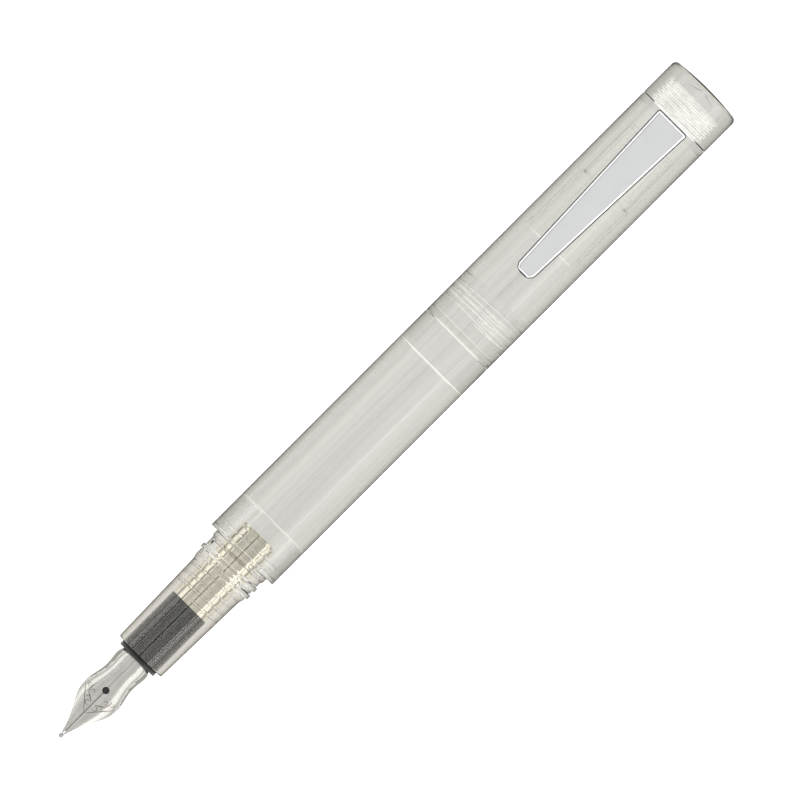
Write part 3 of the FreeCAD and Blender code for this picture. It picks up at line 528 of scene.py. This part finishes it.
CLIP_TIP, CLIP_BACK = 99.4, 131.95
CLIP_TOP = ((99.4, 7.95), (100.1, 8.2), (131.0, 8.2), (131.95, 7.8))
CLIP_UNDER = (
    (99.4, 6.95), (101.0, 6.56), (102.2, 6.56), (103.6, 7.2), (129.0, 7.2), (129.8, 6.56), (131.95, 6.56)
)
# The radius of the upper edge, and how far in from the edge its rim of painted shade, its bevel with a
# painted highlight and its line of painted shade reach.
CLIP_EDGE = 0.48
RIM_SHADE_TO, HIGHLIGHT_TO, LINE_SHADE_TO = 0.2, 0.47, 0.57
INSETS = (0.0, 0.015, 0.04, 0.08, 0.14, 0.21, 0.28, 0.35, 0.42, 0.49, 0.56, 0.63)


def height_at(spots, along):
    """The height on a broken line given as (along, height) spots."""
    for (x0, z0), (x1, z1) in zip(spots, spots[1:]):
        if along <= x1:
            return z0 + (z1 - z0) * (along - x0) / (x1 - x0)
    return spots[-1][1]


def clip_half(along):
    """Half the clip's width, with its rounded corners."""
    half = 1.7 + 1.3 * (along - CLIP_TIP) / (CLIP_BACK - CLIP_TIP)
    for into, corner in ((along - CLIP_TIP, 1.3), (CLIP_BACK - along, 0.45)):
        if into < corner:
            half -= corner - math.sqrt(corner ** 2 - (corner - into) ** 2)
    return half


def clip_strip():
    """The clip as a strip of cross sections with a rounded upper edge. The edge's rim has painted
    shade, its bevel a painted highlight, and a line of painted shade lies just inside the bevel."""
    bends = [99.8, 100.1, 100.7, 101.0, 102.2, 103.6, 129.0, 129.8, 130.4, 131.0]
    places = sorted(
        [CLIP_TIP + i for i in INSETS] + [CLIP_BACK - i for i in INSETS] + bends
        + [104 + i for i in range(25)] + [CLIP_TIP + 0.5 + 0.1 * i for i in range(1, 8)]
    )
    verts = []
    rings = []
    rims = []
    for x in places:
        half = clip_half(x)
        ends = min(x - CLIP_TIP, CLIP_BACK - x)
        scale = min(1.0, half / (INSETS[-1] + 0.05))
        top = height_at(CLIP_TOP, x)
        ring = []
        rim = []
        for side, insets in ((-1, INSETS), (1, INSETS[::-1])):
            for inset in insets:
                from_edge = min(inset * scale, ends)
                deep = max(0.0, CLIP_EDGE - from_edge)
                z = top - CLIP_EDGE + math.sqrt(CLIP_EDGE ** 2 - deep ** 2)
                ring.append(len(verts))
                rim.append(from_edge)
                verts.append(place(x, side * (half - inset * scale), z))
        for side in (1, -1):
            ring.append(len(verts))
            rim.append(-1)
            verts.append(place(x, side * half, height_at(CLIP_UNDER, x)))
        rings.append(ring)
        rims.append(rim)
    faces = []
    skins = []
    around = len(rings[0])
    for i in range(len(rings) - 1):
        for k in range(around):
            n = (k + 1) % around
            faces.append((rings[i][k], rings[i][n], rings[i + 1][n], rings[i + 1][k]))
            corners = (rims[i][k], rims[i][n], rims[i + 1][n], rims[i + 1][k])
            from_edge = sum(corners) / 4
            if min(corners) < 0 or from_edge > LINE_SHADE_TO:
                skins.append(FACE)
            elif from_edge < RIM_SHADE_TO:
                skins.append(PAINTED_RIM_SHADE)
            elif from_edge < HIGHLIGHT_TO:
                skins.append(PAINTED_HIGHLIGHT)
            else:
                skins.append(PAINTED_LINE_SHADE)
    faces += [tuple(rings[0]), tuple(reversed(rings[-1]))]
    skins += [FACE, FACE]
    return finished_solid("clip_body", verts, faces, skins)


stands_for(
    clip_strip(),
    "clip",
    "clip",
    (chrome.material, painted_dark_rim.material, painted_bevel_highlight.material, painted_shade_line.material),
)

# ---- CAD nodes kept as they are ----

# Faces whose normal rises between these two are the nib's flanks, which get painted shade.
FLANK_LOW, FLANK_HIGH = -0.3, 0.62
KEPT = (
    ("nib", (steel, painted_nib_shade), "nib_steel", 30),
    ("nib_tipping", (alloy,), "tip_alloy", 40),
    ("feed", (feed_black,), "black_plastic", 30),
    ("clip_foot", (chrome,), "clip_chrome", 25),
)
for node, skins, slot_name, degrees in KEPT:
    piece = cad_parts[node]
    piece.data.materials.clear()
    for nodes in skins:
        piece.data.materials.append(nodes.material)
    numbers = [
        int(len(skins) > 1 and FLANK_LOW < face.normal.z < FLANK_HIGH)
        for face in piece.data.polygons
    ]
    piece.data.polygons.foreach_set("material_index", numbers)
    smooth(piece, degrees)

# ---- engraved lines on the nib ----

nib_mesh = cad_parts["nib"].data
nib_surface = BVHTree.FromPolygons(
    [v.co for v in nib_mesh.vertices], [tuple(p.vertices) for p in nib_mesh.polygons]
)


def on_nib(along, across):
    """The point of the nib's top face over a place in mm, and the face's normal."""
    start = Vector(place(along, across, 10))
    hit, normal, _, _ = nib_surface.ray_cast(start, Vector((0, 0, -1)))
    return hit, normal


def curl(centre, radius_from, radius_to, angle_from, angle_to, steps=28):
    """A spiral in mm round (along, across), with angles in degrees from the tip's side."""
    spots = []
    for i in range(steps + 1):
        t = i / steps
        r = radius_from + (radius_to - radius_from) * t
        a = math.radians(angle_from + (angle_to - angle_from) * t)
        spots.append((centre[0] - r * math.cos(a), centre[1] + r * math.sin(a)))
    return spots


def bow(a, b, c, steps=20):
    """A smooth curve from a to c that is drawn towards b."""
    spots = []
    for i in range(steps + 1):
        t = i / steps
        u = 1 - t
        spots.append(
            (
                u * u * a[0] + 2 * u * t * b[0] + t * t * c[0],
                u * u * a[1] + 2 * u * t * b[1] + t * t * c[1],
            )
        )
    return spots


# Each stroke is given for the side towards +Y; the other side mirrors it.
STROKES = (
    ([(5.2 + 3.5 * t / 24, 0.02 + 3.03 * t / 24) for t in range(25)], 0.12),
    (curl((6.9, 0.78), 0.18, 0.5, 250, -60), 0.12),
    (bow((7.17, 0.38), (7.75, 1.1), (8.0, 1.65)), 0.16),
    (bow((8.0, 1.65), (8.35, 2.05), (9.5, 1.92)), 0.13),
    (curl((8.6, 1.28), 0.16, 0.42, 300, 20), 0.115),
    (bow((7.7, 1.22), (7.55, 1.6), (7.3, 1.62)), 0.11),
    (curl((9.1, 2.42), 0.12, 0.34, 240, -40), 0.1),
)


def ride_on_nib(obj):
    """Gives a dark line on the nib its material and body."""
    obj.data.materials.append(engraving_and_slit_shade.material)
    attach(obj, "nib")


def engraving(name, mirrored):
    """Thin dark ribbons that lie on the nib."""
    verts = []
    faces = []
    sign = -1 if mirrored else 1
    for spots, width in STROKES:
        last = len(spots) - 1
        row = []
        for i, (along, across) in enumerate(spots):
            before = spots[max(i - 1, 0)]
            after = spots[min(i + 1, last)]
            way = Vector((after[0] - before[0], after[1] - before[1]))
            way.normalize()
            taper = 0.35 + 0.65 * math.sin(math.pi * min(1.0, max(0.0, (i + 1) / (last + 2))))
            pair = []
            for side in (-1, 1):
                x = along - way.y * side * width * taper / 2
                y = (across + way.x * side * width * taper / 2) * sign
                hit, normal = on_nib(x, y)
                if hit is None:
                    pair = None
                    break
                pair.append(hit + normal * 0.004 * MM)
            row.append(pair)
        for i in range(last):
            if row[i] is None or row[i + 1] is None:
                continue
            start = len(verts)
            verts += [row[i][0], row[i][1], row[i + 1][1], row[i + 1][0]]
            faces.append((start, start + 1, start + 2, start + 3))
    ride_on_nib(new_object(name, verts, faces))


def slit_painted_shade(first, last, half, below):
    """A dark strip set in the nib's slit: painted shade where the slit shows dark."""
    verts = []
    faces = []
    count = 24
    for i in range(count + 1):
        along = first + (last - first) * i / count
        hit, _ = on_nib(along, 0.14)
        for side in (-1, 1):
            spot = Vector(place(along, side * half, 0))
            verts.append((spot.x, spot.y, hit.z - below * MM))
        if i:
            n = 2 * i
            faces.append((n - 2, n, n + 1, n - 1))
    ride_on_nib(new_object("nib_slit_painted_shade", verts, faces))


engraving("nib_engraving_left", False)
engraving("nib_engraving_right", True)
# A strip of painted shade darkens the nib's slit.
slit_painted_shade(1.3, 9.2, 0.07, 0.08)

# ---- floor, light and camera ----

# The sky's light against the sine of the height over the horizon.
SKY = ((0.0, 0.45), (1.0, 1.05), (0.1, 0.5), (0.16, 1.3), (0.4, 1.3), (0.52, 1.0))
# What that light is multiplied by, against the sine of the angle to the side: strips of
# brighter and darker cloth along the pen, with a narrow dark seam nearly overhead.
STRIPS = (
    (-1.0, 1.0), (1.0, 1.0), (-0.82, 1.0), (-0.81, 3.5), (-0.77, 3.5), (-0.76, 0.95), (-0.35, 0.92),
    (-0.2, 1.1), (0.025, 1.15), (0.035, 0.03), (0.105, 0.03), (0.115, 1.2), (0.25, 1.1), (0.4, 0.92),
    (0.7, 0.95), (0.71, 2.2), (0.74, 2.2), (0.75, 0.3), (0.81, 0.3), (0.82, 1.0),
)

# The floor glows, so that it stays white under the pen. It lies just under Z = 0.
FLOOR_GLOW = 1.08
FLOOR_REACH = 12.0
FLOOR_DROP = 0.0002
floor = new_object(
    "floor",
    [(x * FLOOR_REACH, y * FLOOR_REACH, 0) for x, y in ((-1, -1), (1, -1), (1, 1), (-1, 1))],
    [(0, 1, 2, 3)],
)
floor.location = (0, 0, -FLOOR_DROP)
floor_nodes = Nodes("floor_paper")
floor_nodes.link(
    floor_nodes.ramp(floor_nodes.noise(8), (0.29, 0.29, 0.29), (0.31, 0.31, 0.31)),
    floor_nodes.shader.inputs["Base Color"],
)
floor_nodes.shader.inputs["Roughness"].default_value = 0.9
floor_nodes.shader.inputs["Emission Color"].default_value = (1, 1, 1, 1)
floor_nodes.shader.inputs["Emission Strength"].default_value = FLOOR_GLOW
floor.data.materials.append(floor_nodes.material)

# Soft light from the whole sky, and a soft box on each side.
world = bpy.data.worlds.new("studio")
bpy.context.scene.world = world
world.use_nodes = True
sky = world.node_tree
background = sky.nodes["Background"]


def light_ramp(stops):
    """A ramp of grey light. The first stop is its lower end and the second its upper end."""
    ramp = sky.nodes.new("ShaderNodeValToRGB")
    for number, (at, light) in enumerate(stops):
        if number < 2:
            stop = ramp.color_ramp.elements[number]
            stop.position = at
        else:
            stop = ramp.color_ramp.elements.new(at)
        stop.color = (light, light, light, 1)
    return ramp


direction = sky.nodes.new("ShaderNodeTexCoord")
parts = sky.nodes.new("ShaderNodeSeparateXYZ")
sky.links.new(direction.outputs["Generated"], parts.inputs["Vector"])
heights = light_ramp(SKY)
sky.links.new(parts.outputs["Z"], heights.inputs["Fac"])
sides = sky.nodes.new("ShaderNodeMapRange")
sides.inputs["From Min"].default_value = -1
sky.links.new(parts.outputs["Y"], sides.inputs["Value"])
strips = light_ramp([((at + 1) / 2, light) for at, light in STRIPS])
sky.links.new(sides.outputs["Result"], strips.inputs["Fac"])
sky.links.new(heights.outputs["Color"], background.inputs["Color"])
sky.links.new(strips.outputs["Color"], background.inputs["Strength"])


def soft_box(name, spot, wide, high, power):
    """A rectangular lamp that faces the origin."""
    lamp = bpy.data.lights.new(name, "AREA")
    lamp.shape = "RECTANGLE"
    lamp.size = wide
    lamp.size_y = high
    lamp.energy = power
    obj = bpy.data.objects.new(name, lamp)
    obj.location = spot
    obj.rotation_euler = (-Vector(spot)).to_track_quat("-Z", "Y").to_euler()
    bpy.context.scene.collection.objects.link(obj)


for side_name, side in (("side_box_left", 1), ("side_box_right", -1)):
    soft_box(side_name, (0, side * 1.6, 0.7), 2.4, 0.5, 3)

# The pen runs up to the right at 45 degrees, seen from straight above. VIEW_WIDTH is what
# the picture spans at the pen's axis, in metres.
PEN_TURN = math.radians(45.02)
VIEW_WIDTH = 0.12164
DISTANCE = 3.0
SENSOR_WIDTH = 36
VIEW_CENTRE = (0.00313, -0.00041)
camera_data = bpy.data.cameras.new("camera")
camera_data.sensor_width = SENSOR_WIDTH
camera_data.lens = SENSOR_WIDTH * DISTANCE / VIEW_WIDTH
camera = bpy.data.objects.new("camera", camera_data)
camera.location = (*VIEW_CENTRE, AXIS_Z * MM + DISTANCE)
camera.rotation_euler = (0, 0, -PEN_TURN)
bpy.context.scene.collection.objects.link(camera)
bpy.context.scene.camera = camera

bpy.context.scene.view_settings.view_transform = "Standard"
# Light crosses many walls of acrylic.
bpy.context.scene.cycles.transmission_bounces = 24
bpy.context.scene.cycles.max_bounces = 32
